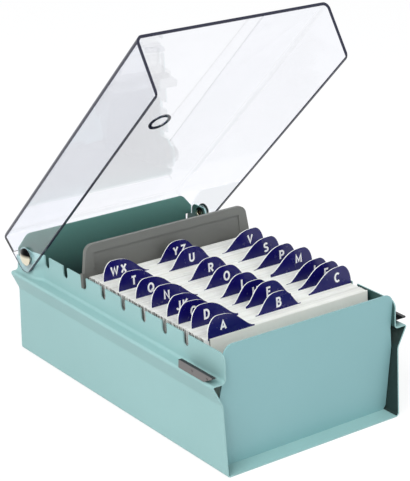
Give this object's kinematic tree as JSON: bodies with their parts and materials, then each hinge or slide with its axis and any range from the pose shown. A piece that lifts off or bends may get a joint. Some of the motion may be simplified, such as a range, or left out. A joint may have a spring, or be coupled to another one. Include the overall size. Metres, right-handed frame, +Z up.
{
  "type": "index card tray with hinged lid",
  "caption": "Open steel card tray with notched walls, hooked follower plate, lettered dividers, card packs and a clear lid hinged on rivets.",
  "frame": {"origin": "on the table, under the middle of the tray's floor", "axes": "+Z up, -Y towards the front panel, +X to the right seen from the front"},
  "size_m": [0.1512, 0.2379, 0.2472],
  "materials": {
    "painted_steel": "satin teal enamel",
    "clear_lid": "clear polished plastic with a cool tint",
    "rivet_metal": "polished",
    "washer_metal": "plain metal",
    "rest_plastic": "dark grey, moulded",
    "plate_plastic": "warm grey with a fine texture",
    "tab_divider": "dark blue tab with a white letter on cream board",
    "card_stock": "white paper card, matt"
  },
  "bodies": {
    "base": {"base_tray": "painted_steel", "front_panel": "painted_steel", "rear_panel": "painted_steel", "rivet_left": "rivet_metal", "rivet_right": "rivet_metal", "washer_left": "washer_metal", "washer_right": "washer_metal", "lid_rest_left": "rest_plastic", "lid_rest_right": "rest_plastic", "cards_front": "card_stock", "cards_a": "card_stock", "cards_b": "card_stock", "cards_c": "card_stock", "cards_d": "card_stock", "cards_e": "card_stock", "cards_f": "card_stock", "cards_g": "card_stock", "cards_h": "card_stock", "cards_i": "card_stock", "cards_jk": "card_stock", "cards_l": "card_stock", "cards_m": "card_stock", "cards_n": "card_stock", "cards_o": "card_stock", "cards_p": "card_stock", "cards_q": "card_stock", "cards_r": "card_stock", "cards_s": "card_stock", "cards_t": "card_stock", "cards_u": "card_stock", "cards_v": "card_stock", "cards_wx": "card_stock", "cards_yz": "card_stock"},
    "lid": {"lid": "clear_lid"},
    "follower": {"follower_plate": "plate_plastic"},
    "divider_a": {"divider_a": "tab_divider"},
    "divider_b": {"divider_b": "tab_divider"},
    "divider_c": {"divider_c": "tab_divider"},
    "divider_d": {"divider_d": "tab_divider"},
    "divider_e": {"divider_e": "tab_divider"},
    "divider_f": {"divider_f": "tab_divider"},
    "divider_g": {"divider_g": "tab_divider"},
    "divider_h": {"divider_h": "tab_divider"},
    "divider_i": {"divider_i": "tab_divider"},
    "divider_jk": {"divider_jk": "tab_divider"},
    "divider_l": {"divider_l": "tab_divider"},
    "divider_m": {"divider_m": "tab_divider"},
    "divider_n": {"divider_n": "tab_divider"},
    "divider_o": {"divider_o": "tab_divider"},
    "divider_p": {"divider_p": "tab_divider"},
    "divider_q": {"divider_q": "tab_divider"},
    "divider_r": {"divider_r": "tab_divider"},
    "divider_s": {"divider_s": "tab_divider"},
    "divider_t": {"divider_t": "tab_divider"},
    "divider_u": {"divider_u": "tab_divider"},
    "divider_v": {"divider_v": "tab_divider"},
    "divider_wx": {"divider_wx": "tab_divider"},
    "divider_yz": {"divider_yz": "tab_divider"}
  },
  "joints": [
    {"name": "lid_hinge", "type": "hinge", "parent": "base", "child": "lid", "pos_m": [0, 0.0961, 0.0732], "axis": [-1, 0, 0], "range_deg": [-47.65, 20]},
    {"name": "follower_lift", "type": "slide", "parent": "base", "child": "follower", "axis": [0, 0.1132, 0.9936], "range_m": [0, 0.0095]},
    {"name": "divider_a_lift", "type": "slide", "parent": "base", "child": "divider_a", "axis": [0, 0.1132, 0.9936], "range_m": [0, 0.076]},
    {"name": "divider_b_lift", "type": "slide", "parent": "base", "child": "divider_b", "axis": [0, 0.1132, 0.9936], "range_m": [0, 0.076]},
    {"name": "divider_c_lift", "type": "slide", "parent": "base", "child": "divider_c", "axis": [0, 0.1132, 0.9936], "range_m": [0, 0.076]},
    {"name": "divider_d_lift", "type": "slide", "parent": "base", "child": "divider_d", "axis": [0, 0.1132, 0.9936], "range_m": [0, 0.076]},
    {"name": "divider_e_lift", "type": "slide", "parent": "base", "child": "divider_e", "axis": [0, 0.1132, 0.9936], "range_m": [0, 0.076]},
    {"name": "divider_f_lift", "type": "slide", "parent": "base", "child": "divider_f", "axis": [0, 0.1132, 0.9936], "range_m": [0, 0.076]},
    {"name": "divider_g_lift", "type": "slide", "parent": "base", "child": "divider_g", "axis": [0, 0.1132, 0.9936], "range_m": [0, 0.076]},
    {"name": "divider_h_lift", "type": "slide", "parent": "base", "child": "divider_h", "axis": [0, 0.1132, 0.9936], "range_m": [0, 0.076]},
    {"name": "divider_i_lift", "type": "slide", "parent": "base", "child": "divider_i", "axis": [0, 0.1132, 0.9936], "range_m": [0, 0.076]},
    {"name": "divider_jk_lift", "type": "slide", "parent": "base", "child": "divider_jk", "axis": [0, 0.1132, 0.9936], "range_m": [0, 0.076]},
    {"name": "divider_l_lift", "type": "slide", "parent": "base", "child": "divider_l", "axis": [0, 0.1132, 0.9936], "range_m": [0, 0.076]},
    {"name": "divider_m_lift", "type": "slide", "parent": "base", "child": "divider_m", "axis": [0, 0.1132, 0.9936], "range_m": [0, 0.076]},
    {"name": "divider_n_lift", "type": "slide", "parent": "base", "child": "divider_n", "axis": [0, 0.1132, 0.9936], "range_m": [0, 0.076]},
    {"name": "divider_o_lift", "type": "slide", "parent": "base", "child": "divider_o", "axis": [0, 0.1132, 0.9936], "range_m": [0, 0.076]},
    {"name": "divider_p_lift", "type": "slide", "parent": "base", "child": "divider_p", "axis": [0, 0.1132, 0.9936], "range_m": [0, 0.076]},
    {"name": "divider_q_lift", "type": "slide", "parent": "base", "child": "divider_q", "axis": [0, 0.1132, 0.9936], "range_m": [0, 0.076]},
    {"name": "divider_r_lift", "type": "slide", "parent": "base", "child": "divider_r", "axis": [0, 0.1132, 0.9936], "range_m": [0, 0.076]},
    {"name": "divider_s_lift", "type": "slide", "parent": "base", "child": "divider_s", "axis": [0, 0.1132, 0.9936], "range_m": [0, 0.076]},
    {"name": "divider_t_lift", "type": "slide", "parent": "base", "child": "divider_t", "axis": [0, 0.1132, 0.9936], "range_m": [0, 0.076]},
    {"name": "divider_u_lift", "type": "slide", "parent": "base", "child": "divider_u", "axis": [0, 0.1132, 0.9936], "range_m": [0, 0.076]},
    {"name": "divider_v_lift", "type": "slide", "parent": "base", "child": "divider_v", "axis": [0, 0.1132, 0.9936], "range_m": [0, 0.076]},
    {"name": "divider_wx_lift", "type": "slide", "parent": "base", "child": "divider_wx", "axis": [0, 0.1132, 0.9936], "range_m": [0, 0.076]},
    {"name": "divider_yz_lift", "type": "slide", "parent": "base", "child": "divider_yz", "axis": [0, 0.1132, 0.9936], "range_m": [0, 0.076]}
  ]
}
